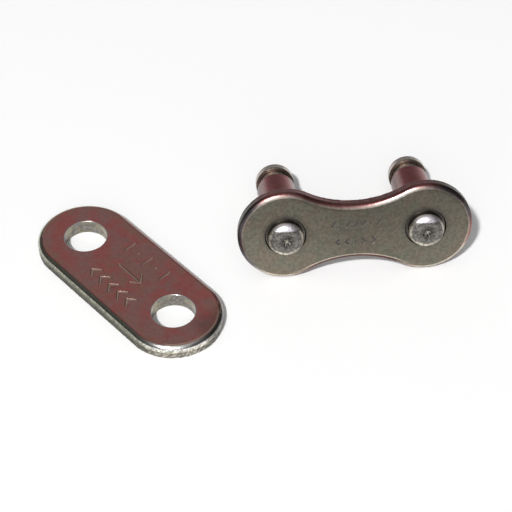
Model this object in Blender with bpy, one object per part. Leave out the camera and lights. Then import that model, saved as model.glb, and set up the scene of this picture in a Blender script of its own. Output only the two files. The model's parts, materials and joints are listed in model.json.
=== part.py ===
"""Connecting link of a roller chain, opened: a plate with two fixed pins, and its loose cover plate.

Metres, +Z up. X runs along the pin link's plate, and the pins point to +Y, a little downhill.
The pin link rests on the back edge of its plate and on both pin tips. The cover plate lies flat.
"""
import math

import bmesh
import bpy
from mathutils import Vector

# Chain sizes
PITCH = 0.0127
ROLLER_LINK_WIDTH = 0.0061
PLATE_THICKNESS = 0.0013
COVER_THICKNESS = 0.0014

# Waisted plate of the pin link
LOBE_RADIUS = 0.0043
WAIST_HALF_WIDTH = 0.0027
FACE_EDGE_WIDTH = 0.0008
FACE_EDGE_DEPTH = 0.00045
BACK_EDGE_RADIUS = 0.00015
SEAT_GAP = 0.00004
SEAT_COUNTERSINK = 0.00004

# Pins, turned, with a riveted head in front and a clip groove near the tip
PIN_RADIUS = 0.0018
HEAD_RADIUS = 0.00165
HEAD_HEIGHT = 0.00095
HEAD_EDGE_WIDTH = 0.00072
HEAD_EDGE_DEPTH = 0.0007
HEAD_SHOULDER_DEPTH = 0.00012
PUNCH_RADIUS = 0.00034
PUNCH_DEPTH = 0.00016
COVER_PLAY = 0.00005
GROOVE_WIDTH = 0.00115
GROOVE_DEPTH = 0.0003
TIP_COLLAR_LENGTH = 0.00155
TIP_ROUNDING = 0.00095
TURNED_EDGE = 0.00005

# Cover plate
COVER_WIDTH = 0.00885
COVER_EDGE_WIDTH = 0.0006
COVER_EDGE_DEPTH = 0.0005
COVER_BACK_EDGE_RADIUS = 0.0001
COVER_HOLE_PLAY = 0.00016
HOLE_RIM_RADIUS = 0.00006

# Where the cover plate lies, from the middle of the pin link's face
COVER_CENTRE = Vector((-0.02062, -0.00019))
COVER_YAW = math.radians(-53.4)

# Facets
LOBE_STEPS = 36
WAIST_STEPS = 12
TURNED_SIDES = 60
ROUNDING_STEPS = 5
TIP_STEPS = 6
RIM_STEPS = 2
CUT_MARGIN = 0.0005

PIN_REACH = (PLATE_THICKNESS + ROLLER_LINK_WIDTH + COVER_THICKNESS + COVER_PLAY
             + GROOVE_WIDTH + TIP_COLLAR_LENGTH)


def oval_arc(centre, width, height, start, end, steps):
    """Points of an ellipse's arc in a plane, both ends included, angles in radians."""
    points = []
    for i in range(steps + 1):
        angle = start + (end - start) * i / steps
        points.append((centre[0] + width * math.cos(angle), centre[1] + height * math.sin(angle)))
    return points


def arc(centre, radius, start, end, steps):
    """Points of a circle's arc in a plane, both ends included, angles in radians."""
    return oval_arc(centre, radius, radius, start, end, steps)


def waisted_outline(inset):
    """Two round lobes, one pitch apart, joined by two hollow arcs, all moved in by inset."""
    half = PITCH / 2
    waist_radius = ((half ** 2 + WAIST_HALF_WIDTH ** 2 - LOBE_RADIUS ** 2)
                    / (2 * (LOBE_RADIUS - WAIST_HALF_WIDTH)))
    waist_centre = WAIST_HALF_WIDTH + waist_radius
    joint_angle = math.atan2(waist_centre, half)
    lobe = LOBE_RADIUS - inset
    waist = waist_radius + inset
    reach = math.pi - joint_angle
    outline = arc((half, 0), lobe, -reach, reach, LOBE_STEPS)
    outline += arc((0, waist_centre), waist, -joint_angle, joint_angle - math.pi, WAIST_STEPS)[1:-1]
    outline += arc((-half, 0), lobe, math.pi - reach, math.pi + reach, LOBE_STEPS)
    outline += arc((0, -waist_centre), waist, math.pi - joint_angle, joint_angle, WAIST_STEPS)[1:-1]
    return outline


def obround_outline(inset):
    """Two half circles, one pitch apart, joined by straight sides, all moved in by inset."""
    half = PITCH / 2
    radius = COVER_WIDTH / 2 - inset
    quarter = math.pi / 2
    return (arc((half, 0), radius, -quarter, quarter, LOBE_STEPS)
            + arc((-half, 0), radius, quarter, 3 * quarter, LOBE_STEPS))


def plate_rows(thickness, edge_width, edge_depth, back_radius):
    """Depth below the face and inset of each outline, from the rounded face edge to the back."""
    return (oval_arc((edge_depth, edge_width), edge_depth, edge_width, math.pi, 1.5 * math.pi,
                     ROUNDING_STEPS)
            + arc((thickness - back_radius, back_radius), back_radius, -math.pi / 2, 0, RIM_STEPS))


def finished_mesh(name, bm):
    """Mesh with its faces pointing out, smooth where it is round."""
    bmesh.ops.recalc_face_normals(bm, faces=bm.faces)
    mesh = bpy.data.meshes.new(name)
    bm.to_mesh(mesh)
    bm.free()
    mesh.shade_smooth()
    mesh.set_sharp_from_angle(angle=math.radians(35))
    return mesh


def plate_mesh(name, outline, rows):
    """Closed plate in the XZ plane, its face at Y = 0 and its back at +Y."""
    bm = bmesh.new()
    rings = [[bm.verts.new((x, depth, z)) for x, z in outline(inset)] for depth, inset in rows]
    for upper, lower in zip(rings, rings[1:]):
        for i in range(len(upper)):
            bm.faces.new((upper[i - 1], upper[i], lower[i], lower[i - 1]))
    bm.faces.new(rings[0])
    bm.faces.new(rings[-1])
    return finished_mesh(name, bm)


def turned_mesh(name, profile):
    """Closed body of a (radius, y) profile turned about the Y axis."""
    bm = bmesh.new()
    rings = []
    for radius, y in profile:
        if radius == 0:
            rings.append([bm.verts.new((0, y, 0))])
        else:
            circle = arc((0, 0), radius, -math.pi / 2, 1.5 * math.pi, TURNED_SIDES)[:-1]
            rings.append([bm.verts.new((x, y, z)) for x, z in circle])
    for first, second in zip(rings, rings[1:]):
        for i in range(TURNED_SIDES):
            corners = [first[i - 1], first[i]] if len(first) > 1 else [first[0]]
            corners += [second[i], second[i - 1]] if len(second) > 1 else [second[0]]
            bm.faces.new(corners)
    for end in (rings[0], rings[-1]):
        if len(end) > 1:
            bm.faces.new(end)
    return finished_mesh(name, bm)


def pin_profile():
    """Pin from its riveted head, in front of the plate's face at Y = 0, to its rounded tip."""
    groove_end = PIN_REACH - TIP_COLLAR_LENGTH
    groove_start = groove_end - GROOVE_WIDTH
    groove_radius = PIN_RADIUS - GROOVE_DEPTH
    head_centre = (HEAD_RADIUS - HEAD_EDGE_WIDTH, HEAD_EDGE_DEPTH - HEAD_HEIGHT)
    profile = [(0, PUNCH_DEPTH - HEAD_HEIGHT), (PUNCH_RADIUS, -HEAD_HEIGHT)]
    profile += oval_arc(head_centre, HEAD_EDGE_WIDTH, HEAD_EDGE_DEPTH, -math.pi / 2, 0,
                        ROUNDING_STEPS)
    profile += [
        (HEAD_RADIUS, HEAD_SHOULDER_DEPTH),
        (PIN_RADIUS - TURNED_EDGE, HEAD_SHOULDER_DEPTH),
        (PIN_RADIUS, HEAD_SHOULDER_DEPTH + TURNED_EDGE),
        (PIN_RADIUS, groove_start - TURNED_EDGE),
        (PIN_RADIUS - TURNED_EDGE, groove_start),
        (groove_radius, groove_start),
        (groove_radius, groove_end),
        (PIN_RADIUS - TURNED_EDGE, groove_end),
        (PIN_RADIUS, groove_end + TURNED_EDGE),
    ]
    rounding_centre = (PIN_RADIUS - TIP_ROUNDING, PIN_REACH - TIP_ROUNDING)
    return profile + arc(rounding_centre, TIP_ROUNDING, 0, math.pi / 2, TIP_STEPS)


def hole_profile(radius, thickness, face_rim, back_rim):
    """Cutter for a round hole whose rims are rounded, longer than the plate is thick."""
    profile = [(0, -CUT_MARGIN), (radius + face_rim, -CUT_MARGIN)]
    face_centre = (radius + face_rim, face_rim)
    back_centre = (radius + back_rim, thickness - back_rim)
    profile += arc(face_centre, face_rim, -math.pi / 2, -math.pi, RIM_STEPS)
    profile += arc(back_centre, back_rim, math.pi, math.pi / 2, RIM_STEPS)
    profile += [(radius + back_rim, thickness + CUT_MARGIN), (0, thickness + CUT_MARGIN)]
    return profile


def steel(name, colour, roughness):
    """Plain metal of one colour."""
    material = bpy.data.materials.new(name)
    material.use_nodes = True
    shader = material.node_tree.nodes["Principled BSDF"]
    shader.inputs["Base Color"].default_value = (*colour, 1)
    shader.inputs["Metallic"].default_value = 1
    shader.inputs["Roughness"].default_value = roughness
    return material


def empty(name, parent=None, location=(0, 0, 0), rotation=(0, 0, 0)):
    holder = bpy.data.objects.new(name, None)
    bpy.context.collection.objects.link(holder)
    holder.parent = parent
    holder.location = location
    holder.rotation_euler = rotation
    return holder


def solid(name, mesh, parent, location=(0, 0, 0)):
    body = bpy.data.objects.new(name, mesh)
    bpy.context.collection.objects.link(body)
    body.parent = parent
    body.location = location
    return body


def cut_holes(plate, profile):
    """Cut one hole at each end of a plate, a pitch apart."""
    mesh = turned_mesh(plate.name + "_cutter", profile)
    for side, x in (("left", -PITCH / 2), ("right", PITCH / 2)):
        cutter = solid(f"{plate.name}_{side}_cutter", mesh, plate.parent, (x, 0, 0))
        cutter.hide_render = True
        cutter.display_type = "WIRE"
        cut = plate.modifiers.new(side + "_hole", "BOOLEAN")
        cut.operation = "DIFFERENCE"
        cut.object = cutter


def resting_tilt():
    """Downward slope of the pins when the plate's back edge and the tips touch the table."""
    rise = (LOBE_RADIUS - BACK_EDGE_RADIUS) - (PIN_RADIUS - TIP_ROUNDING)
    run = (PIN_REACH - TIP_ROUNDING) - (PLATE_THICKNESS - BACK_EDGE_RADIUS)
    return (math.atan2(rise, run)
            + math.asin((BACK_EDGE_RADIUS - TIP_ROUNDING) / math.hypot(rise, run)))


def make_pin_link(layout):
    """Waisted plate with a pin through each lobe, leaning on the tips of its pins."""
    tilt = resting_tilt()
    height = ((LOBE_RADIUS - BACK_EDGE_RADIUS) * math.cos(tilt)
              + (PLATE_THICKNESS - BACK_EDGE_RADIUS) * math.sin(tilt) + BACK_EDGE_RADIUS)
    pin_link = empty("pin_link", layout, (0, 0, height), (-tilt, 0, 0))
    rows = plate_rows(PLATE_THICKNESS, FACE_EDGE_WIDTH, FACE_EDGE_DEPTH, BACK_EDGE_RADIUS)
    plate = solid("link_plate", plate_mesh("link_plate", waisted_outline, rows), pin_link)
    plate.data.materials.append(steel("link_plate", (0.20, 0.18, 0.155), 0.42))
    cut_holes(plate, hole_profile(PIN_RADIUS + SEAT_GAP, PLATE_THICKNESS, SEAT_COUNTERSINK,
                                  BACK_EDGE_RADIUS / 2))
    pin_mesh = turned_mesh("pin", pin_profile())
    pin_mesh.materials.append(steel("pin", (0.24, 0.18, 0.17), 0.3))
    solid("pin_left", pin_mesh, pin_link, (-PITCH / 2, 0, 0))
    solid("pin_right", pin_mesh, pin_link, (PITCH / 2, 0, 0))


def make_cover_plate(layout):
    """Straight-sided plate with two holes, flat on the table with its rounded edge up."""
    cover = empty("cover", layout, (*COVER_CENTRE, COVER_THICKNESS), (-math.pi / 2, 0, COVER_YAW))
    rows = plate_rows(COVER_THICKNESS, COVER_EDGE_WIDTH, COVER_EDGE_DEPTH,
                      COVER_BACK_EDGE_RADIUS)
    plate = solid("cover_plate", plate_mesh("cover_plate", obround_outline, rows), cover)
    plate.data.materials.append(steel("cover_plate", (0.17, 0.085, 0.08), 0.25))
    cut_holes(plate, hole_profile(PIN_RADIUS + COVER_HOLE_PLAY, COVER_THICKNESS, HOLE_RIM_RADIUS,
                                  HOLE_RIM_RADIUS))


def centre_on_origin(layout):
    """Move everything so that the middle of its box's underside is at the origin."""
    bpy.context.view_layer.update()
    graph = bpy.context.evaluated_depsgraph_get()
    points = []
    for body in bpy.context.scene.objects:
        if body.type == "MESH" and not body.hide_render:
            seen = body.evaluated_get(graph)
            points += [seen.matrix_world @ vertex.co for vertex in seen.data.vertices]
    low = Vector([min(point[axis] for point in points) for axis in range(3)])
    high = Vector([max(point[axis] for point in points) for axis in range(3)])
    layout.location = (-(low.x + high.x) / 2, -(low.y + high.y) / 2, -low.z)
    bpy.context.view_layer.update()


def main():
    for old in list(bpy.data.objects):
        bpy.data.objects.remove(old)
    layout = empty("layout")
    make_pin_link(layout)
    make_cover_plate(layout)
    centre_on_origin(layout)


main()
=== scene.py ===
"""Looks of an opened chain connecting link: its plate with two riveted pins, and the loose cover plate.

Metres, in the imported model's frame. Each CAD solid is replaced by a finer body of the same sizes,
made in the piece's own frame: the plate's face at y = 0, its back and the pin tips at +y.
"""
import json
import math

import bmesh
import bpy
from mathutils import Matrix, Vector, noise

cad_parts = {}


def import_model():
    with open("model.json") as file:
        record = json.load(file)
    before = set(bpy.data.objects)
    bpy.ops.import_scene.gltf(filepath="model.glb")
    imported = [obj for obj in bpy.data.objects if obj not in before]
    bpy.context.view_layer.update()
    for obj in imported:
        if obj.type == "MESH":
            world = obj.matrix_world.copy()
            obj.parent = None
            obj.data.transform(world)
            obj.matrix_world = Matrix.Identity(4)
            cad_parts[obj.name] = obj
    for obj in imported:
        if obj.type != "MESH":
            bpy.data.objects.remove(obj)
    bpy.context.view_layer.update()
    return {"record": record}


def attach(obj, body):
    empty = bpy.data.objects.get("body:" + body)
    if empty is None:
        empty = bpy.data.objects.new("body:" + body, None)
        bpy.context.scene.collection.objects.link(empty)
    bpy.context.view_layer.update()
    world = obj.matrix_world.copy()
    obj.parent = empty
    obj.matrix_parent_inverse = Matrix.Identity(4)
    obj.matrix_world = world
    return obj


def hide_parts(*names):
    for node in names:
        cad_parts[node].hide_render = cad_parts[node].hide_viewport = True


# Sizes of the solids
PITCH = 0.0127
PLATE_THICKNESS = 0.0013
LOBE_RADIUS = 0.0043
WAIST_HALF_WIDTH = 0.0027
FACE_EDGE_WIDTH = 0.0008
FACE_EDGE_DEPTH = 0.00045
BACK_EDGE_RADIUS = 0.00015
SEAT_GAP = 0.00004
SEAT_COUNTERSINK = 0.00004
PIN_RADIUS = 0.0018
PIN_REACH = 0.01155
HEAD_RADIUS = 0.00165
HEAD_HEIGHT = 0.00095
HEAD_EDGE_WIDTH = 0.00072
HEAD_EDGE_DEPTH = 0.0007
HEAD_SHOULDER_DEPTH = 0.00012
GROOVE_WIDTH = 0.00115
GROOVE_DEPTH = 0.0003
TIP_COLLAR_LENGTH = 0.00155
TIP_ROUNDING = 0.00095
TURNED_EDGE = 0.00005
COVER_THICKNESS = 0.0014
COVER_WIDTH = 0.00885
COVER_EDGE_WIDTH = 0.0006
COVER_EDGE_DEPTH = 0.0005
COVER_BACK_EDGE_RADIUS = 0.0001
COVER_HOLE_PLAY = 0.00016
HOLE_RIM_RADIUS = 0.00006
COVER_YAW = math.radians(-53.4)

# Millimetres in a metre, the unit of the stops along a material's zones
MILLIMETRES = 1000

# Fineness of the meshes
LOBE_STEPS = 144
WAIST_STEPS = 96
SIDE_STEPS = 120
EDGE_STEPS = 12
WALL_STEPS = 8
RIM_STEPS = 4
TURNED_SIDES = 168
STROKE_SIDES = 20
STROKE_STEPS = 5
CUT_MARGIN = 0.0005
SHARP_ANGLE = math.radians(40)

# Sheared walls: the share of the thickness that stays smooth, how deep the rest is torn, and the
# size of its marks round and across the plate
BURNISHED_SHARE = 0.5
SHEAR_DEPTH = 0.00003
SHEAR_SPACING = 0.00022
SHEAR_LENGTH = 0.0011

# Star-shaped punch mark in each riveted head
STAR_RADIUS = 0.00046
STAR_DEPTH = 0.0002
STAR_WAIST = 0.42
STAR_RINGS = 24
STAR_TURNS = {"left": 0.5, "right": 1.2}
BURR_HEIGHT = 0.00003
BURR_WIDTH = 0.0001
HEAD_UNEVENNESS = 0.000008
HEAD_UNEVENNESS_SPACING = 0.00025

# Stamped marks: strokes that dip below the face, with round ends
LINK_STROKE_RADIUS = 0.00016
COVER_STROKE_RADIUS = 0.00021
LINK_STROKE_DEPTH = 0.00004
COVER_STROKE_DEPTH = 0.00005
DOT_SHARE = 1.25
CHEVRON_OPENING = math.radians(42)

# Attribute that keeps where each point lies in its piece's own frame
OWN_PLACE = "own_place"

# Share of full white that the floor glows to sight, mirrors and glass alone: near the object, and
# far away, where the lamps reach less. It changes between the two distances from the object.
FLOOR_GLOW = 0.04
FAR_FLOOR_GLOW = 0.7
GLOW_START = 0.2
GLOW_END = 2.2

# Floor: a hair below the object, so that no face of it lies in the same plane
FLOOR_COLOUR = (0.96, 0.96, 0.96, 1)
FLOOR_HALF_SIDE = 4
FLOOR_DROP = 0.00001

# Lamps: degrees right of the front and above the floor, metres, and radiance, where 1 shows as white
LAMP_DISTANCE = 1.5
WINDOW = {"azimuth": -12, "elevation": 36, "width": 1.02, "height": 1.32, "radiance": 1.0}
KEY = {"azimuth": -26, "elevation": 51, "width": 0.096, "height": 0.096, "radiance": 670}

# Camera, fitted to the photograph's outlines
IMAGE_SIDE = 512
FOCAL_PIXELS = 1648.6
CAMERA_ELEVATION = math.radians(44.93)
CAMERA_AZIMUTH = math.radians(-4.87)
CAMERA_ROLL = math.radians(-0.27)
CAMERA_DISTANCE = 0.15241
CAMERA_TARGET = Vector((0.00025, 0.00139, 0.00003))
SENSOR_WIDTH = 36


def oval_arc(centre, width, height, start, end, steps):
    """Points of an ellipse's arc in a plane, both ends included, angles in radians."""
    points = []
    for i in range(steps + 1):
        angle = start + (end - start) * i / steps
        points.append((centre[0] + width * math.cos(angle), centre[1] + height * math.sin(angle)))
    return points


def arc(centre, radius, start, end, steps):
    """Points of a circle's arc in a plane, both ends included, angles in radians."""
    return oval_arc(centre, radius, radius, start, end, steps)


def between(start, end, steps):
    """Evenly spaced points or rows from start to end, without the two ends."""
    return [tuple(a + (b - a) * i / steps for a, b in zip(start, end)) for i in range(1, steps)]


def waisted_outline(inset):
    """Two round lobes, one pitch apart, joined by two hollow arcs, all moved in by inset."""
    half = PITCH / 2
    waist_radius = ((half ** 2 + WAIST_HALF_WIDTH ** 2 - LOBE_RADIUS ** 2)
                    / (2 * (LOBE_RADIUS - WAIST_HALF_WIDTH)))
    waist_centre = WAIST_HALF_WIDTH + waist_radius
    joint_angle = math.atan2(waist_centre, half)
    lobe = LOBE_RADIUS - inset
    waist = waist_radius + inset
    reach = math.pi - joint_angle
    outline = arc((half, 0), lobe, -reach, reach, LOBE_STEPS)
    outline += arc((0, waist_centre), waist, -joint_angle, joint_angle - math.pi, WAIST_STEPS)[1:-1]
    outline += arc((-half, 0), lobe, math.pi - reach, math.pi + reach, LOBE_STEPS)
    outline += arc((0, -waist_centre), waist, math.pi - joint_angle, joint_angle, WAIST_STEPS)[1:-1]
    return outline


def obround_outline(inset):
    """Two half circles, one pitch apart, joined by straight sides, all moved in by inset."""
    half = PITCH / 2
    radius = COVER_WIDTH / 2 - inset
    quarter = math.pi / 2
    return (arc((half, 0), radius, -quarter, quarter, LOBE_STEPS)
            + between((half, radius), (-half, radius), SIDE_STEPS)
            + arc((-half, 0), radius, quarter, 3 * quarter, LOBE_STEPS)
            + between((-half, -radius), (half, -radius), SIDE_STEPS))


def plate_rows(thickness, edge_width, edge_depth, back_radius):
    """Depth below the face and inset of each outline, from the rounded face edge to the back."""
    edge = oval_arc((edge_depth, edge_width), edge_depth, edge_width, math.pi, 1.5 * math.pi,
                    EDGE_STEPS)
    back = arc((thickness - back_radius, back_radius), back_radius, -math.pi / 2, 0, RIM_STEPS)
    return edge + between(edge[-1], back[0], WALL_STEPS) + back


def bridged(bm, rings):
    """Closed body from a row of rings, each a loop or a single point."""
    sides = max(len(ring) for ring in rings)
    for first, second in zip(rings, rings[1:]):
        for i in range(sides):
            corners = [first[i - 1], first[i]] if len(first) > 1 else [first[0]]
            corners += [second[i], second[i - 1]] if len(second) > 1 else [second[0]]
            bm.faces.new(corners)
    for end in (rings[0], rings[-1]):
        if len(end) > 1:
            bm.faces.new(end)


def finished_mesh(name, bm):
    bmesh.ops.recalc_face_normals(bm, faces=bm.faces)
    mesh = bpy.data.meshes.new(name)
    bm.to_mesh(mesh)
    bm.free()
    mesh.shade_smooth()
    mesh.set_sharp_from_angle(angle=SHARP_ANGLE)
    return mesh


def sheared_in(x, z, depth, burnished, last):
    """How far a blanked wall is torn in: smooth near the face, uneven from the burnished depth on."""
    torn = min(1, max(0, (depth - burnished) / (last - burnished)))
    where = Vector((x / SHEAR_SPACING, z / SHEAR_SPACING, depth / SHEAR_LENGTH))
    uneven = 0.5 + 0.9 * noise.noise(where) + 0.3 * noise.noise(where * 2.7)
    return SHEAR_DEPTH * min(1, 3 * torn) * min(1, max(0, uneven))


def plate_mesh(name, outline, rows, burnished):
    """Closed plate in the XZ plane, its face at Y = 0 and its back at +Y, with a blanked wall."""
    bm = bmesh.new()
    last = rows[-1][0]
    rings = []
    for depth, inset in rows:
        ring = []
        for (x, z), (x_in, z_in) in zip(outline(inset), outline(inset + SHEAR_DEPTH)):
            share = sheared_in(x, z, depth, burnished, last) / SHEAR_DEPTH
            ring.append(bm.verts.new((x + (x_in - x) * share, depth, z + (z_in - z) * share)))
        rings.append(ring)
    bridged(bm, rings)
    return finished_mesh(name, bm)


def turned_mesh(name, profile, sides=TURNED_SIDES, shape=None):
    """Closed body of a (radius, y) profile turned about Y; shape may move each point a little."""
    bm = bmesh.new()
    rings = []
    for radius, y in profile:
        if radius < 1e-9:
            circle = [(0, 0)]
        else:
            circle = arc((0, 0), radius, -math.pi / 2, 1.5 * math.pi, sides)[:-1]
        points = [Vector((x, y, z)) for x, z in circle]
        if shape:
            points = [shape(point) for point in points]
        rings.append([bm.verts.new(point) for point in points])
    bridged(bm, rings)
    return finished_mesh(name, bm)


def pin_profile():
    """Pin from its riveted head, in front of the plate's face, to its rounded tip."""
    groove_end = PIN_REACH - TIP_COLLAR_LENGTH
    groove_start = groove_end - GROOVE_WIDTH
    groove_radius = PIN_RADIUS - GROOVE_DEPTH
    edge = PIN_RADIUS - TURNED_EDGE
    quarter = math.pi / 2
    flat_radius = HEAD_RADIUS - HEAD_EDGE_WIDTH
    profile = [(flat_radius * i / STAR_RINGS, -HEAD_HEIGHT) for i in range(STAR_RINGS)]
    profile += oval_arc((flat_radius, HEAD_EDGE_DEPTH - HEAD_HEIGHT), HEAD_EDGE_WIDTH,
                        HEAD_EDGE_DEPTH, -quarter, 0, 2 * EDGE_STEPS)
    profile.append((HEAD_RADIUS, HEAD_SHOULDER_DEPTH))
    profile += arc((edge, HEAD_SHOULDER_DEPTH + TURNED_EDGE), TURNED_EDGE, -quarter, 0, RIM_STEPS)
    profile += arc((edge, groove_start - TURNED_EDGE), TURNED_EDGE, 0, quarter, RIM_STEPS)
    profile += [(groove_radius, groove_start), (groove_radius, groove_end)]
    profile += arc((edge, groove_end + TURNED_EDGE), TURNED_EDGE, -quarter, 0, RIM_STEPS)
    profile += arc((PIN_RADIUS - TIP_ROUNDING, PIN_REACH - TIP_ROUNDING), TIP_ROUNDING, 0, quarter,
                   2 * EDGE_STEPS)
    return profile


def hole_profile(radius, thickness, face_rim, back_rim):
    """Cutter for a round hole whose rims are rounded, longer than the plate is thick."""
    profile = [(0, -CUT_MARGIN), (radius + face_rim, -CUT_MARGIN)]
    face_centre = (radius + face_rim, face_rim)
    back_centre = (radius + back_rim, thickness - back_rim)
    profile += arc(face_centre, face_rim, -math.pi / 2, -math.pi, RIM_STEPS)
    profile += arc(back_centre, back_rim, math.pi, math.pi / 2, RIM_STEPS)
    profile += [(radius + back_rim, thickness + CUT_MARGIN), (0, thickness + CUT_MARGIN)]
    return profile


def add_object(name, mesh, place=Matrix()):
    body = bpy.data.objects.new(name, mesh)
    bpy.context.collection.objects.link(body)
    body.matrix_world = place
    return body


def punched_head(turn):
    """Mover for a pin's points: a four-pointed star, with a burr, is punched into its head."""
    def shape(point):
        if point.y > HEAD_EDGE_DEPTH - HEAD_HEIGHT:
            return point
        across = math.hypot(point.x, point.z)
        angle = math.atan2(point.z, point.x) + turn
        reach = STAR_RADIUS * (STAR_WAIST + (1 - STAR_WAIST) * abs(math.cos(2 * angle)) ** 1.6)
        sunk = STAR_DEPTH * max(0, 1 - across / reach) ** 0.8
        raised = BURR_HEIGHT * math.exp(-((across - reach) / BURR_WIDTH) ** 2) if across > reach else 0
        where = point / HEAD_UNEVENNESS_SPACING + Vector((turn * 9, 0, 0))
        return point + Vector((0, sunk - raised + HEAD_UNEVENNESS * noise.noise(where), 0))
    return shape


def cut(plate, cutters, crossing=False):
    """Cut each of these bodies out of a plate for good, and delete them."""
    for cutter in cutters:
        modifier = plate.modifiers.new(cutter.name, "BOOLEAN")
        modifier.operation = "DIFFERENCE"
        modifier.object = cutter
        modifier.use_self = crossing
    graph = bpy.context.evaluated_depsgraph_get()
    cut_mesh = bpy.data.meshes.new_from_object(plate.evaluated_get(graph))
    plate.modifiers.clear()
    plate.data = cut_mesh
    for cutter in cutters:
        bpy.data.objects.remove(cutter)


def cut_holes(plate, profile):
    mesh = turned_mesh("hole_cutter", profile)
    cut(plate, [add_object("hole_cutter", mesh, Matrix.Translation((x, 0, 0)))
                for x in (-PITCH / 2, PITCH / 2)])


def dot(x, z):
    return [(x, z, 0, 0)]


def bar(x, z, angle, length):
    return [(x, z, angle, length)]


def chevron(x, z, length, facing):
    """Two strokes that meet at (x, z) and open away from the way they face."""
    strokes = []
    for side in (-1, 1):
        angle = facing + math.pi + side * CHEVRON_OPENING
        strokes.append((x + math.cos(angle) * length / 2, z + math.sin(angle) * length / 2,
                        angle, length))
    return strokes


def stamp(plate, strokes, stroke_radius, stroke_depth):
    """Press strokes into a plate's face, each (x, z, angle, length) in its plane, in metres.

    A stroke of no length is a dot, whose two round ends share a ring of points.
    """
    bm = bmesh.new()
    for x, z, angle, length in strokes:
        radius = stroke_radius if length else stroke_radius * DOT_SHARE
        near_end = arc((0, -length / 2), radius, -math.pi / 2, 0, STROKE_STEPS)
        far_end = arc((0, length / 2), radius, 0, math.pi / 2, STROKE_STEPS)
        profile = near_end + (far_end if length else far_end[1:])
        mesh = turned_mesh("stroke", profile, STROKE_SIDES)
        mesh.transform(Matrix.Translation((x, stroke_depth - radius, z))
                       @ Matrix.Rotation(-angle, 4, "Y") @ Matrix.Rotation(-math.pi / 2, 4, "Z"))
        bm.from_mesh(mesh)
    cut(plate, [add_object("strokes", finished_mesh("strokes", bm))], crossing=True)


def level_shading(body):
    """Large flat faces keep their own shading right up to the rounded edges."""
    weighted = body.modifiers.new("level_shading", "WEIGHTED_NORMAL")
    weighted.mode = "FACE_AREA"
    weighted.weight = 100
    weighted.keep_sharp = True


class Graph:
    """Short names for the shader nodes that the metals, the floor and the world use."""

    def __init__(self, tree):
        self.tree = tree

    def node(self, kind, inputs=None, **settings):
        made = self.tree.nodes.new(kind)
        for name, value in settings.items():
            setattr(made, name, value)
        for socket, value in (inputs or {}).items():
            if isinstance(value, bpy.types.NodeSocket):
                self.tree.links.new(value, made.inputs[socket])
            else:
                made.inputs[socket].default_value = value
        return made

    def maths(self, operation, first, second):
        return self.node("ShaderNodeMath", {0: first, 1: second}, operation=operation).outputs[0]

    def level(self, factor, start, end, low, high):
        """A number that goes from low to high, smoothly, while the factor goes from start to end."""
        inputs = {"Value": factor, "From Min": start, "From Max": end, "To Min": low, "To Max": high}
        return self.node("ShaderNodeMapRange", inputs, interpolation_type="SMOOTHSTEP").outputs[0]

    def own_place(self):
        """Where a point lies in its piece's own frame, in metres."""
        return self.node("ShaderNodeAttribute", attribute_name=OWN_PLACE).outputs["Vector"]

    def axis(self, name):
        return self.node("ShaderNodeSeparateXYZ", {"Vector": self.own_place()}).outputs[name]

    def reach(self, across, up):
        """Length of the sum of two steps at right angles."""
        squares = [self.maths("MULTIPLY", value, value) for value in (across, up)]
        return self.maths("SQRT", self.maths("ADD", *squares), 0.0)

    def hole_radius(self):
        """Distance from the axis of the nearer hole."""
        across = self.maths("SUBTRACT", self.maths("ABSOLUTE", self.axis("X"), 0.0), PITCH / 2)
        return self.reach(across, self.axis("Z"))

    def obround_radius(self):
        """Distance from the straight line between the two holes' axes."""
        across = self.maths("SUBTRACT", self.maths("ABSOLUTE", self.axis("X"), 0.0), PITCH / 2)
        return self.reach(self.maths("MAXIMUM", across, 0.0), self.axis("Z"))

    def noise(self, size, seed, detail):
        """Cloudy noise whose patches are about size millimetres across, mostly from 0.35 to 0.65."""
        inputs = {"Vector": self.own_place(), "Scale": (MILLIMETRES, MILLIMETRES, MILLIMETRES)}
        place = self.node("ShaderNodeMapping", inputs).outputs[0]
        inputs = {"Vector": place, "W": seed, "Scale": 1 / size, "Detail": detail}
        return self.node("ShaderNodeTexNoise", inputs, noise_dimensions="4D").outputs["Fac"]

    def blend(self, factor, first, second, kind="MIX"):
        mix = self.node("ShaderNodeMix", data_type="RGBA", blend_type=kind)
        for name, value in (("Factor_Float", factor), ("A_Color", first), ("B_Color", second)):
            socket = next(s for s in mix.inputs if s.identifier == name)
            if isinstance(value, bpy.types.NodeSocket):
                self.tree.links.new(value, socket)
            else:
                socket.default_value = (*value, 1) if isinstance(value, tuple) else value
        return next(s for s in mix.outputs if s.identifier == "Result_Color")

    def tinted(self, colour, tint):
        return self.blend(1.0, colour, tint, "MULTIPLY")

    def ramp(self, factor, stops, interpolation="LINEAR"):
        """Colours, or grey levels, at places from 0 to 1."""
        made = self.node("ShaderNodeValToRGB", {"Fac": factor})
        made.color_ramp.interpolation = interpolation
        elements = made.color_ramp.elements
        while len(elements) < len(stops):
            elements.new(0.5)
        for element, (position, colour) in zip(elements, stops):
            element.position = position
            element.color = (*colour, 1) if isinstance(colour, tuple) else (colour,) * 3 + (1,)
        return made.outputs["Color"]

    def zones(self, value, stops):
        """Colours or levels along a length, each stop's place in millimetres."""
        first, last = stops[0][0], stops[-1][0]
        inputs = {"Value": value, "From Min": first / MILLIMETRES, "From Max": last / MILLIMETRES}
        share = self.node("ShaderNodeMapRange", inputs).outputs[0]
        return self.ramp(share, [((place - first) / (last - first), level)
                                 for place, level in stops])

    def speckled(self, colour, size, seed, low, high, detail):
        """The colour, darker and lighter in patches: low and high are the levels at the extremes."""
        return self.tinted(colour, self.level(self.noise(size, seed, detail), 0.36, 0.64, low, high))

    def bump(self, height, distance):
        """Small relief, its height in metres."""
        inputs = {"Height": height, "Distance": distance, "Strength": 1.0}
        return self.node("ShaderNodeBump", inputs).outputs["Normal"]


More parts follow.
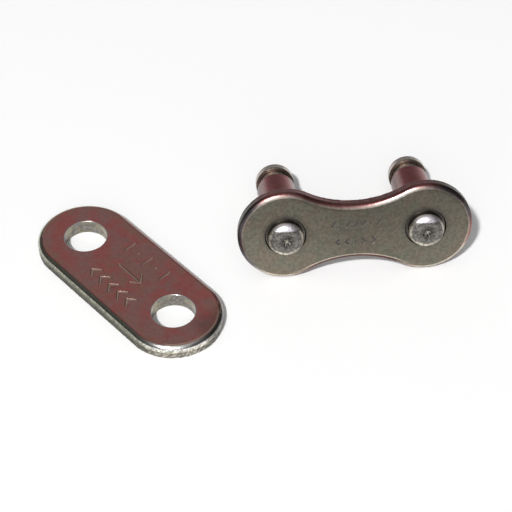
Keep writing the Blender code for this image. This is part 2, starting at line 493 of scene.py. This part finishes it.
def metal(name):
    """Empty metallic material, its node graph and its shader."""
    material = bpy.data.materials.new(name)
    material.use_nodes = True
    shader = material.node_tree.nodes["Principled BSDF"]
    shader.inputs["Metallic"].default_value = 1
    return material, Graph(material.node_tree), shader


def join(graph, shader, colour, roughness, normal):
    for socket, value in (("Base Color", colour), ("Roughness", roughness), ("Normal", normal)):
        graph.tree.links.new(value, shader.inputs[socket])


def link_plate_metal():
    """Tumbled olive-grey face, a rounded edge with painted highlights along its top and painted shade
    at its ends and below, and a brown blanked wall.
    """
    material, graph, shader = metal("link_plate_metal")
    olive = (0.193, 0.184, 0.145)
    stamped = (0.107, 0.095, 0.09)
    bright = (0.665, 0.61, 0.59)
    cream = (0.625, 0.59, 0.48)
    thin_line = (0.45, 0.4, 0.335)
    brown = (0.305, 0.133, 0.127)
    shaded_brown = (0.11, 0.044, 0.04)
    purple_grey = (0.147, 0.134, 0.152)
    green_black = (0.063, 0.067, 0.053)
    painted_head_shade = (0.055, 0.05, 0.047)
    back = (0.33, 0.31, 0.255)
    depth = graph.axis("Y")
    along = graph.axis("X")
    up = graph.axis("Z")

    # Upper half of the rounded edge and the wall behind it, brightened as a painted highlight that is
    # stronger in some places than in others
    highlit_edge = graph.zones(depth, [
        (0.0, olive), (0.045, olive), (0.065, bright), (0.15, bright), (0.23, brown), (1.2, brown),
        (1.3, back)])
    plain_edge = graph.zones(depth, [
        (0.0, olive), (0.05, olive), (0.065, thin_line), (0.09, thin_line), (0.15, brown),
        (1.2, brown), (1.3, back)])
    highlights = graph.zones(along, [
        (-9.9, 0.0), (-9.0, 0.22), (-6.6, 0.3), (-5.2, 0.12), (-2.2, 0.05), (-0.8, 0.2), (1.6, 0.3),
        (3.0, 0.7), (4.4, 0.7), (5.4, 0.4), (6.6, 0.25), (7.6, 0.1), (9.0, 0.0)])
    upper = graph.level(up, 0.0008, 0.0024, 0.0, 1.0)
    colour = graph.blend(graph.maths("MULTIPLY", highlights, upper), plain_edge, highlit_edge)

    # Lower half: a thin bright line in the waist and a wider one below the lobes, painted reflection of
    # the floor, with painted shade on the wall below them
    below_waist = graph.zones(depth, [
        (0.0, olive), (0.035, olive), (0.045, cream), (0.065, cream), (0.085, shaded_brown),
        (1.2, shaded_brown), (1.3, back)])
    below_lobes = graph.zones(depth, [
        (0.0, olive), (0.09, olive), (0.12, cream), (0.3, cream), (0.4, shaded_brown),
        (1.2, shaded_brown), (1.3, back)])
    lobes = graph.zones(along, [(-6.0, 1.0), (-4.0, 0.0), (3.5, 0.0), (5.5, 1.0)])
    below = graph.blend(lobes, below_waist, below_lobes)
    colour = graph.blend(graph.level(up, -0.0024, -0.0014, 1.0, 0.0), colour, below)

    # Both ends of the edge are dark: painted shade
    left_end = graph.zones(along, [(-10.6, 1.0), (-9.4, 0.95), (-8.0, 0.0)])
    right_end = graph.zones(along, [(6.2, 0.0), (8.0, 0.85), (10.6, 0.95)])
    right_end = graph.maths("MULTIPLY", right_end, graph.level(up, -0.0002, 0.0014, 0.0, 1.0))
    on_edge = graph.level(depth, 0.00004, 0.00012, 0.0, 1.0)
    dark_end = graph.zones(depth, [(0.0, purple_grey), (0.18, purple_grey), (0.28, green_black),
                                   (1.2, green_black), (1.3, back)])
    ends = graph.maths("MULTIPLY", graph.maths("MAXIMUM", left_end, right_end), on_edge)
    colour = graph.blend(ends, colour, dark_end)

    # Darker towards the top and the middle as painted shade, cloudy and finely speckled
    upward = graph.level(up, -0.0034, 0.0034, 1.1, 0.72)
    sideways = graph.zones(along, [(-9.9, 1.0), (-6.0, 0.98), (-3.0, 0.88), (0.0, 0.77),
                                   (3.0, 0.81), (6.0, 0.87), (9.9, 0.92)])
    colour = graph.tinted(colour, graph.maths("MULTIPLY", upward, sideways))
    cloudy = graph.level(graph.noise(1.3, 1.0, 3), 0.4, 0.62, 0.0, 1.0)
    colour = graph.blend(cloudy, colour, graph.tinted(colour, (1.09, 0.98, 0.97)))
    colour = graph.speckled(colour, 0.3, 2.0, 0.88, 1.12, detail=3)
    colour = graph.speckled(colour, 0.13, 3.0, 0.9, 1.1, detail=2)

    # Stamped marks, and painted shade round the pins' heads, thicker above them
    marked = graph.maths("MULTIPLY", graph.level(depth, 0.00001, 0.00002, 0.0, 1.0),
                         graph.level(graph.reach(along, up), 0.0034, 0.0038, 1.0, 0.0))
    marked = graph.maths("MULTIPLY", marked, graph.level(depth, 0.00005, 0.0001, 1.0, 0.0))
    off_edge = graph.level(graph.maths("ABSOLUTE", up, 0.0), 0.0016, 0.0018, 1.0, 0.0)
    colour = graph.blend(graph.maths("MULTIPLY", marked, off_edge), colour, stamped)
    halo = graph.zones(graph.hole_radius(), [(1.8, 0.85), (1.86, 0.7), (2.0, 0.35), (2.4, 0.0)])
    halo = graph.maths("MULTIPLY", halo, graph.level(up, -0.0016, 0.0008, 0.12, 1.0))
    colour = graph.blend(halo, colour, painted_head_shade)

    roughness = graph.zones(depth, [(0.0, 0.42), (0.03, 0.4), (0.08, 0.33), (0.5, 0.34), (1.3, 0.4)])
    normal = graph.bump(graph.noise(0.3, 4.0, 3), 0.000006)
    join(graph, shader, colour, roughness, normal)
    return material


def pin_metal():
    """Ground steel: a dark speckled head with a rim brightened as a painted reflection and a cap of
    painted highlight, a brown shank with painted reflections along its flanks, and a tip banded with
    painted highlight and shade.
    """
    material, graph, shader = metal("pin_metal")
    head = (0.185, 0.175, 0.162)
    rim = (0.6, 0.56, 0.48)
    cap = (0.92, 0.88, 0.93)
    grey_cap = (0.3, 0.27, 0.29)
    painted_head_shade = (0.125, 0.117, 0.102)
    shank = (0.243, 0.061, 0.061)
    silver_reflection = (0.255, 0.19, 0.18)
    shade = (0.077, 0.07, 0.064)
    under = (0.2, 0.135, 0.12)
    groove = (0.46, 0.41, 0.345)
    groove_shade = (0.155, 0.115, 0.1)
    collar = (0.255, 0.22, 0.185)
    tip_highlight_arc = (0.54, 0.49, 0.435)
    tip = (0.095, 0.038, 0.038)
    end = (0.21, 0.185, 0.16)
    groove_end = (PIN_REACH - TIP_COLLAR_LENGTH) * MILLIMETRES
    groove_start = groove_end - GROOVE_WIDTH * MILLIMETRES
    depth = graph.axis("Y")
    up = graph.axis("Z")

    # Along the pin, and on the lower half of its head: a rim of painted reflection, painted shade at
    # the head's foot and at the groove's end, a painted highlight arc on the tip and painted shade
    # along its outline
    beside = graph.zones(depth, [
        (-0.95, head), (-0.8, head), (-0.72, rim), (-0.5, rim), (-0.38, painted_head_shade), (1.0, painted_head_shade),
        (1.2, shank), (groove_start - 0.1, shank), (groove_start + 0.05, groove),
        (groove_end - 0.25, groove), (groove_end - 0.12, groove_shade), (groove_end, groove_shade),
        (groove_end + 0.1, collar), (groove_end + 0.26, tip_highlight_arc), (groove_end + 0.52, tip_highlight_arc),
        (groove_end + 0.68, tip), (groove_end + 1.1, tip), (groove_end + 1.3, end), (11.55, end)])
    below = graph.zones(depth, [(-0.95, head), (-0.93, head), (-0.9, rim), (-0.35, rim),
                                (-0.2, painted_head_shade)])

    # Painted reflections along the shank's flanks, silver with painted shade at their edges, and a
    # greyer underside
    flank = graph.maths("ABSOLUTE", graph.axis("X"), 0.0)
    painted_flank_reflections = graph.zones(flank, [(0.0, shank), (1.0, shank), (1.3, silver_reflection), (1.45, silver_reflection),
                                  (1.65, shade), (1.8, shade)])
    on_shank = graph.zones(depth, [(1.0, 0.0), (1.2, 0.7), (groove_start - 0.1, 0.7),
                                   (groove_start, 0.0)])
    painted_flank_reflections = graph.blend(graph.level(up, -0.0009, 0.0003, 1.0, 0.0), painted_flank_reflections, under)
    beside = graph.blend(on_shank, beside, painted_flank_reflections)

    # Head: bright lower rim of painted reflection, punch mark with a painted glint in its middle and
    # painted shade round it, speckled flat, and a cap of painted highlight
    on_head = graph.level(depth, -0.00048, -0.00038, 1.0, 0.0)
    lower = graph.maths("MULTIPLY", on_head, graph.level(up, -0.0011, -0.0007, 1.0, 0.0))
    upper = graph.maths("MULTIPLY", on_head, graph.level(up, 0.00098, 0.00108, 0.0, 1.0))
    colour = graph.blend(lower, beside, below)
    punch = graph.zones(graph.reach(graph.axis("X"), up), [(0.0, 2.2), (0.16, 1.8), (0.3, 0.5),
                                                           (0.55, 0.6), (0.75, 1.0)])
    colour = graph.blend(on_head, colour, graph.tinted(colour, punch))
    rough_colour = graph.speckled(colour, 0.17, 5.0, 0.62, 1.4, detail=2)
    colour = graph.speckled(colour, 0.3, 11.0, 0.88, 1.12, detail=3)
    colour = graph.blend(on_head, colour, rough_colour)
    mottled_cap_highlight = graph.blend(graph.level(graph.noise(0.12, 5.0, 2), 0.5, 0.68, 0.0, 0.55), cap, grey_cap)
    colour = graph.blend(graph.maths("MULTIPLY", upper, 0.9), colour, mottled_cap_highlight)

    roughness = graph.zones(depth, [
        (-0.95, 0.42), (-0.8, 0.42), (-0.4, 0.4), (1.2, 0.28), (groove_start - 0.05, 0.28),
        (groove_start, 0.4), (groove_end, 0.4), (groove_end + 0.1, 0.3), (11.55, 0.3)])
    normal = graph.bump(graph.noise(0.2, 6.0, 3), 0.000004)
    join(graph, shader, colour, roughness, normal)
    return material


def cover_plate_metal():
    """Rolled reddish-brown face, silvery rounded edge and a sheared wall below it."""
    material, graph, shader = metal("cover_plate_metal")
    face = (0.455, 0.19, 0.174)
    stamped = (0.58, 0.39, 0.32)
    bright = (0.79, 0.77, 0.74)
    cream = (0.68, 0.645, 0.53)
    torn = (0.32, 0.3, 0.26)
    line = (0.125, 0.118, 0.095)
    bore = (0.285, 0.26, 0.2)
    cool_bore = (0.225, 0.215, 0.195)
    depth = graph.axis("Y")
    across = graph.axis("Z")
    along = graph.axis("X")

    # From the face over the rounded edge to the torn wall
    colour = graph.zones(depth, [
        (0.0, face), (0.045, face), (0.07, bright), (0.45, bright), (0.52, cream), (0.68, cream),
        (0.72, line), (0.8, torn), (1.3, torn), (1.4, cream)])

    # Redder and greyer patches on the face, with olive blotches near its edge and middle
    patches = graph.level(graph.noise(1.6, 7.0, 3), 0.4, 0.62, 0.0, 1.0)
    tint = graph.blend(patches, (1.08, 0.86, 0.88), (0.91, 1.12, 1.14))
    blotches = graph.level(graph.noise(0.8, 12.0, 3), 0.4, 0.6, 0.0, 0.9)
    near_edge = graph.level(graph.obround_radius(), 0.0030, 0.0038, 0.0, 1.0)
    near_middle = graph.level(graph.reach(along, across), 0.0015, 0.0042, 1.0, 0.0)
    olive = graph.blend(graph.maths("MULTIPLY", graph.maths("MAXIMUM", near_edge, near_middle),
                                    blotches), tint, (0.88, 1.12, 1.0))
    on_face = graph.level(depth, 0.00004, 0.00008, 1.0, 0.0)
    colour = graph.blend(on_face, colour, graph.tinted(colour, olive))

    # Painted shade: the edge and wall are darker along one side and at both ends; on the other side
    # they are darker and redder, a painted reflection
    long_side = graph.level(across, -0.0042, -0.0030, 1.0, 0.0)
    far_end = graph.level(along, -0.0090, -0.0075, 1.0, 0.0)
    shaded_side = graph.maths("MULTIPLY", graph.maths("MAXIMUM", long_side, far_end),
                              graph.level(along, 0.0060, 0.0090, 1.0, 0.0))
    side_tone = graph.zones(depth, [(0.03, (1.0, 1.0, 1.0)), (0.08, (0.75, 0.77, 0.66)),
                                    (0.45, (0.28, 0.29, 0.245)), (1.4, (0.2, 0.205, 0.17))])
    colour = graph.blend(shaded_side, colour, graph.tinted(colour, side_tone))
    near_end = graph.maths("MULTIPLY", graph.level(along, 0.0078, 0.0096, 0.0, 1.0),
                           graph.level(across, -0.0006, 0.0010, 0.0, 1.0))
    end_tone = graph.zones(depth, [(0.05, 0.7), (0.1, 0.26), (0.5, 0.26), (0.6, 0.4), (1.4, 0.36)])
    colour = graph.blend(near_end, colour, graph.tinted(colour, end_tone))
    red_side = graph.level(across, 0.0032, 0.0042, 0.0, 1.0)
    red_tone = graph.zones(depth, [(0.03, (1.0, 1.0, 1.0)), (0.08, (0.42, 0.2, 0.19)),
                                   (0.5, (0.42, 0.2, 0.19)), (0.7, (0.8, 0.8, 0.8))])
    colour = graph.blend(red_side, colour, graph.tinted(colour, red_tone))

    # Stamped marks, then the holes' rims and walls
    marked = graph.maths("MULTIPLY", graph.level(depth, 0.000006, 0.000012, 0.0, 1.0),
                         graph.level(graph.maths("ABSOLUTE", across, 0.0), 0.0030, 0.0032, 1.0, 0.0))
    marked = graph.maths("MULTIPLY", marked, on_face)
    off_holes = graph.level(graph.hole_radius(), 0.0023, 0.0025, 0.0, 1.0)
    colour = graph.blend(graph.maths("MULTIPLY", marked, off_holes), colour, stamped)
    in_bore = graph.level(graph.hole_radius(), 0.00200, 0.00204, 1.0, 0.0)
    rim = graph.level(depth, 0.00004, 0.00008, 0.0, 1.0)
    bore = graph.blend(graph.level(graph.noise(0.9, 3.0, 2), 0.42, 0.58, 0.0, 1.0), bore, cool_bore)
    colour = graph.blend(in_bore, colour, graph.blend(rim, bright, bore))

    # Fine speckle on the face, coarse on the torn wall, and in between in the holes
    fine = graph.speckled(colour, 0.3, 8.0, 0.95, 1.05, detail=3)
    coarse = graph.speckled(colour, 0.18, 10.0, 0.45, 1.6, detail=2)
    wall = graph.maths("MULTIPLY", graph.level(depth, 0.0001, 0.0005, 0.0, 1.0),
                       graph.level(graph.hole_radius(), 0.00200, 0.00204, 0.5, 1.0))
    colour = graph.blend(wall, fine, coarse)

    roughness = graph.zones(depth, [(0.0, 0.22), (0.03, 0.2), (0.5, 0.22), (0.72, 0.4), (1.4, 0.4)])
    normal = graph.bump(graph.noise(0.4, 9.0, 3), 0.000006)
    join(graph, shader, colour, roughness, normal)
    return material


def link_marks():
    """Two faint rows in the middle of the face, and a single dot above the right pin.

    The upper row has slanted ticks and dots, and the lower one chevrons that face away from the dot
    in its middle.
    """
    row_height = 0.0009
    tick_spacing, tick_length, tick_slant = 0.00068, 0.0006, math.radians(60)
    chevron_spacing, chevron_length = 0.0009, 0.00038
    strokes = []
    for i in range(-3, 4):
        x = i * tick_spacing
        strokes += dot(x, row_height) if abs(i) == 2 else bar(x, row_height, tick_slant, tick_length)
    for i in range(-2, 3):
        x = i * chevron_spacing
        facing = 0 if i > 0 else math.pi
        strokes += chevron(x, -row_height, chevron_length, facing) if i else dot(x, -row_height)
    strokes += dot(PITCH / 2 - 0.00013, 0.0020)
    return strokes


def cover_marks():
    """An arrow along the middle, ticks and dots on one side of it and chevrons on the other."""
    row_height, spacing = 0.0022, 0.00125
    tick_length, chevron_length = 0.0011, 0.00085
    arrow_length, arrow_tip, arrow_head = 0.0026, 0.0018, 0.0010
    strokes = bar(0, 0, 0, arrow_length) + chevron(arrow_tip, 0, arrow_head, 0)
    for i in range(-2, 3):
        x = i * spacing
        strokes += dot(x, row_height) if i % 2 else bar(x, row_height, math.pi / 2, tick_length)
        strokes += chevron(x, -row_height, chevron_length, math.pi)
    return strokes


def make_link_plate():
    rows = plate_rows(PLATE_THICKNESS, FACE_EDGE_WIDTH, FACE_EDGE_DEPTH, BACK_EDGE_RADIUS)
    burnished = BURNISHED_SHARE * PLATE_THICKNESS
    mesh = plate_mesh("link_plate_body", waisted_outline, rows, burnished)
    plate = add_object("link_plate_body", mesh)
    cut_holes(plate, hole_profile(PIN_RADIUS + SEAT_GAP, PLATE_THICKNESS, SEAT_COUNTERSINK,
                                  BACK_EDGE_RADIUS / 2))
    stamp(plate, link_marks(), LINK_STROKE_RADIUS, LINK_STROKE_DEPTH)
    level_shading(plate)
    plate.data.materials.append(link_plate_metal())
    return plate


def make_pin(side, material):
    mesh = turned_mesh(f"pin_{side}_body", pin_profile(), shape=punched_head(STAR_TURNS[side]))
    pin = add_object(f"pin_{side}_body", mesh)
    level_shading(pin)
    pin.data.materials.append(material)
    return pin


def make_cover_plate():
    rows = plate_rows(COVER_THICKNESS, COVER_EDGE_WIDTH, COVER_EDGE_DEPTH, COVER_BACK_EDGE_RADIUS)
    burnished = BURNISHED_SHARE * COVER_THICKNESS
    mesh = plate_mesh("cover_plate_body", obround_outline, rows, burnished)
    plate = add_object("cover_plate_body", mesh)
    cut_holes(plate, hole_profile(PIN_RADIUS + COVER_HOLE_PLAY, COVER_THICKNESS, HOLE_RIM_RADIUS,
                                  HOLE_RIM_RADIUS))
    stamp(plate, cover_marks(), COVER_STROKE_RADIUS, COVER_STROKE_DEPTH)
    level_shading(plate)
    plate.data.materials.append(cover_plate_metal())
    return plate


def settle(piece, place, node):
    """Note each point's own place, move the mesh to the CAD node's place and stand for that node."""
    mesh = piece.data
    own_place = mesh.attributes.new(OWN_PLACE, "FLOAT_VECTOR", "POINT")
    for vertex, noted in zip(mesh.vertices, own_place.data):
        noted.vector = vertex.co
    mesh.transform(place)
    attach(piece, "root")
    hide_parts(node)


def link_frame(mounts):
    """Frame of the pin link, from its inner face: X along the plate, Y towards the pin tips."""
    back = Vector(mounts["inner_face"]["pos_m"])
    rear = Vector(mounts["inner_face"]["axis"]).normalized()
    along = Vector((1, 0, 0))
    basis = Matrix((along, rear, along.cross(rear))).transposed().to_4x4()
    return Matrix.Translation(back - rear * PLATE_THICKNESS) @ basis


def cover_frame(mounts):
    """Frame of the cover plate, from its underside: its face on top, its back down."""
    under = Vector(mounts["cover_underside"]["pos_m"])
    turn = Matrix.Rotation(COVER_YAW, 4, "Z") @ Matrix.Rotation(-math.pi / 2, 4, "X")
    return Matrix.Translation(under + Vector((0, 0, COVER_THICKNESS))) @ turn


def make_floor():
    """White paper; the last step to white is a glow that only sight, mirrors and glass meet."""
    bm = bmesh.new()
    bmesh.ops.create_grid(bm, x_segments=1, y_segments=1, size=FLOOR_HALF_SIDE)
    floor = add_object("floor", finished_mesh("floor", bm), Matrix.Translation((0, 0, -FLOOR_DROP)))
    material = bpy.data.materials.new("floor_paper")
    material.use_nodes = True
    graph = Graph(material.node_tree)
    shader = material.node_tree.nodes["Principled BSDF"]
    shader.inputs["Base Color"].default_value = FLOOR_COLOUR
    shader.inputs["Roughness"].default_value = 0.9
    shader.inputs["Emission Color"].default_value = (1, 1, 1, 1)
    path = graph.node("ShaderNodeLightPath").outputs
    seen = graph.maths("MAXIMUM", path["Is Camera Ray"], path["Is Glossy Ray"])
    seen = graph.maths("MAXIMUM", seen, path["Is Transmission Ray"])
    place = graph.node("ShaderNodeTexCoord").outputs["Object"]
    away = graph.node("ShaderNodeVectorMath", {0: place}, operation="LENGTH").outputs["Value"]
    glow = graph.level(away, GLOW_START, GLOW_END, FLOOR_GLOW, FAR_FLOOR_GLOW)
    material.node_tree.links.new(graph.maths("MULTIPLY", seen, glow),
                                 shader.inputs["Emission Strength"])
    floor.data.materials.append(material)


def make_world():
    """Soft grey studio: pale at the horizon, darker above it and to both sides."""
    world = bpy.data.worlds.new("studio")
    bpy.context.scene.world = world
    world.use_nodes = True
    tree = world.node_tree
    tree.nodes.clear()
    graph = Graph(tree)
    direction = graph.node("ShaderNodeTexCoord").outputs["Generated"]
    axes = graph.node("ShaderNodeSeparateXYZ", {"Vector": direction}).outputs
    height = axes["Z"]
    sky = graph.ramp(height, [(0.0, 1.0), (0.1, 0.39), (0.25, 0.25), (0.7, 0.385), (1.0, 0.385)],
                     "EASE")
    aside = graph.maths("ABSOLUTE", axes["X"], 0.0)
    sides = graph.level(aside, 0.2, 0.6, 1.0, 0.2)
    high = graph.level(height, 0.02, 0.12, 0.0, 1.0)
    shaded = graph.blend(high, (1.0, 1.0, 1.0), sides)
    colour = graph.tinted(sky, shaded)
    background = graph.node("ShaderNodeBackground", {"Color": colour, "Strength": 1.0})
    output = graph.node("ShaderNodeOutputWorld")
    tree.links.new(background.outputs[0], output.inputs["Surface"])


def make_softbox(name, azimuth, elevation, width, height, radiance):
    """Rectangular lamp aimed at the object."""
    lamp = bpy.data.lights.new(name, "AREA")
    lamp.shape = "RECTANGLE"
    lamp.size = width
    lamp.size_y = height
    lamp.energy = radiance * math.pi * width * height
    body = bpy.data.objects.new(name, lamp)
    bpy.context.collection.objects.link(body)
    turn = (Matrix.Rotation(math.radians(azimuth), 4, "Z")
            @ Matrix.Rotation(math.radians(90 - elevation), 4, "X"))
    body.matrix_world = turn @ Matrix.Translation((0, 0, LAMP_DISTANCE))


def make_camera():
    lens = bpy.data.cameras.new("camera")
    lens.sensor_width = SENSOR_WIDTH
    lens.lens = FOCAL_PIXELS * SENSOR_WIDTH / IMAGE_SIDE
    lens.clip_start = 0.01
    lens.clip_end = 10
    camera = bpy.data.objects.new("camera", lens)
    bpy.context.collection.objects.link(camera)
    turn = (Matrix.Rotation(CAMERA_AZIMUTH, 4, "Z")
            @ Matrix.Rotation(math.pi / 2 - CAMERA_ELEVATION, 4, "X")
            @ Matrix.Rotation(CAMERA_ROLL, 4, "Z"))
    back = turn.to_3x3() @ Vector((0, 0, 1))
    camera.matrix_world = Matrix.Translation(CAMERA_TARGET + back * CAMERA_DISTANCE) @ turn
    bpy.context.scene.camera = camera


def main():
    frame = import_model()
    mounts = {mount["name"]: mount for mount in frame["record"]["mounts"]}
    link = link_frame(mounts)
    pin_material = pin_metal()
    settle(make_link_plate(), link, "link_plate")
    for side, x in (("left", -PITCH / 2), ("right", PITCH / 2)):
        pin_place = link @ Matrix.Translation((x, 0, 0))
        settle(make_pin(side, pin_material), pin_place, f"pin_{side}")
    settle(make_cover_plate(), cover_frame(mounts), "cover_plate")
    make_floor()
    make_world()
    make_softbox("window_softbox", **WINDOW)
    make_softbox("key_softbox", **KEY)
    make_camera()
    bpy.context.scene.view_settings.view_transform = "Standard"


main()
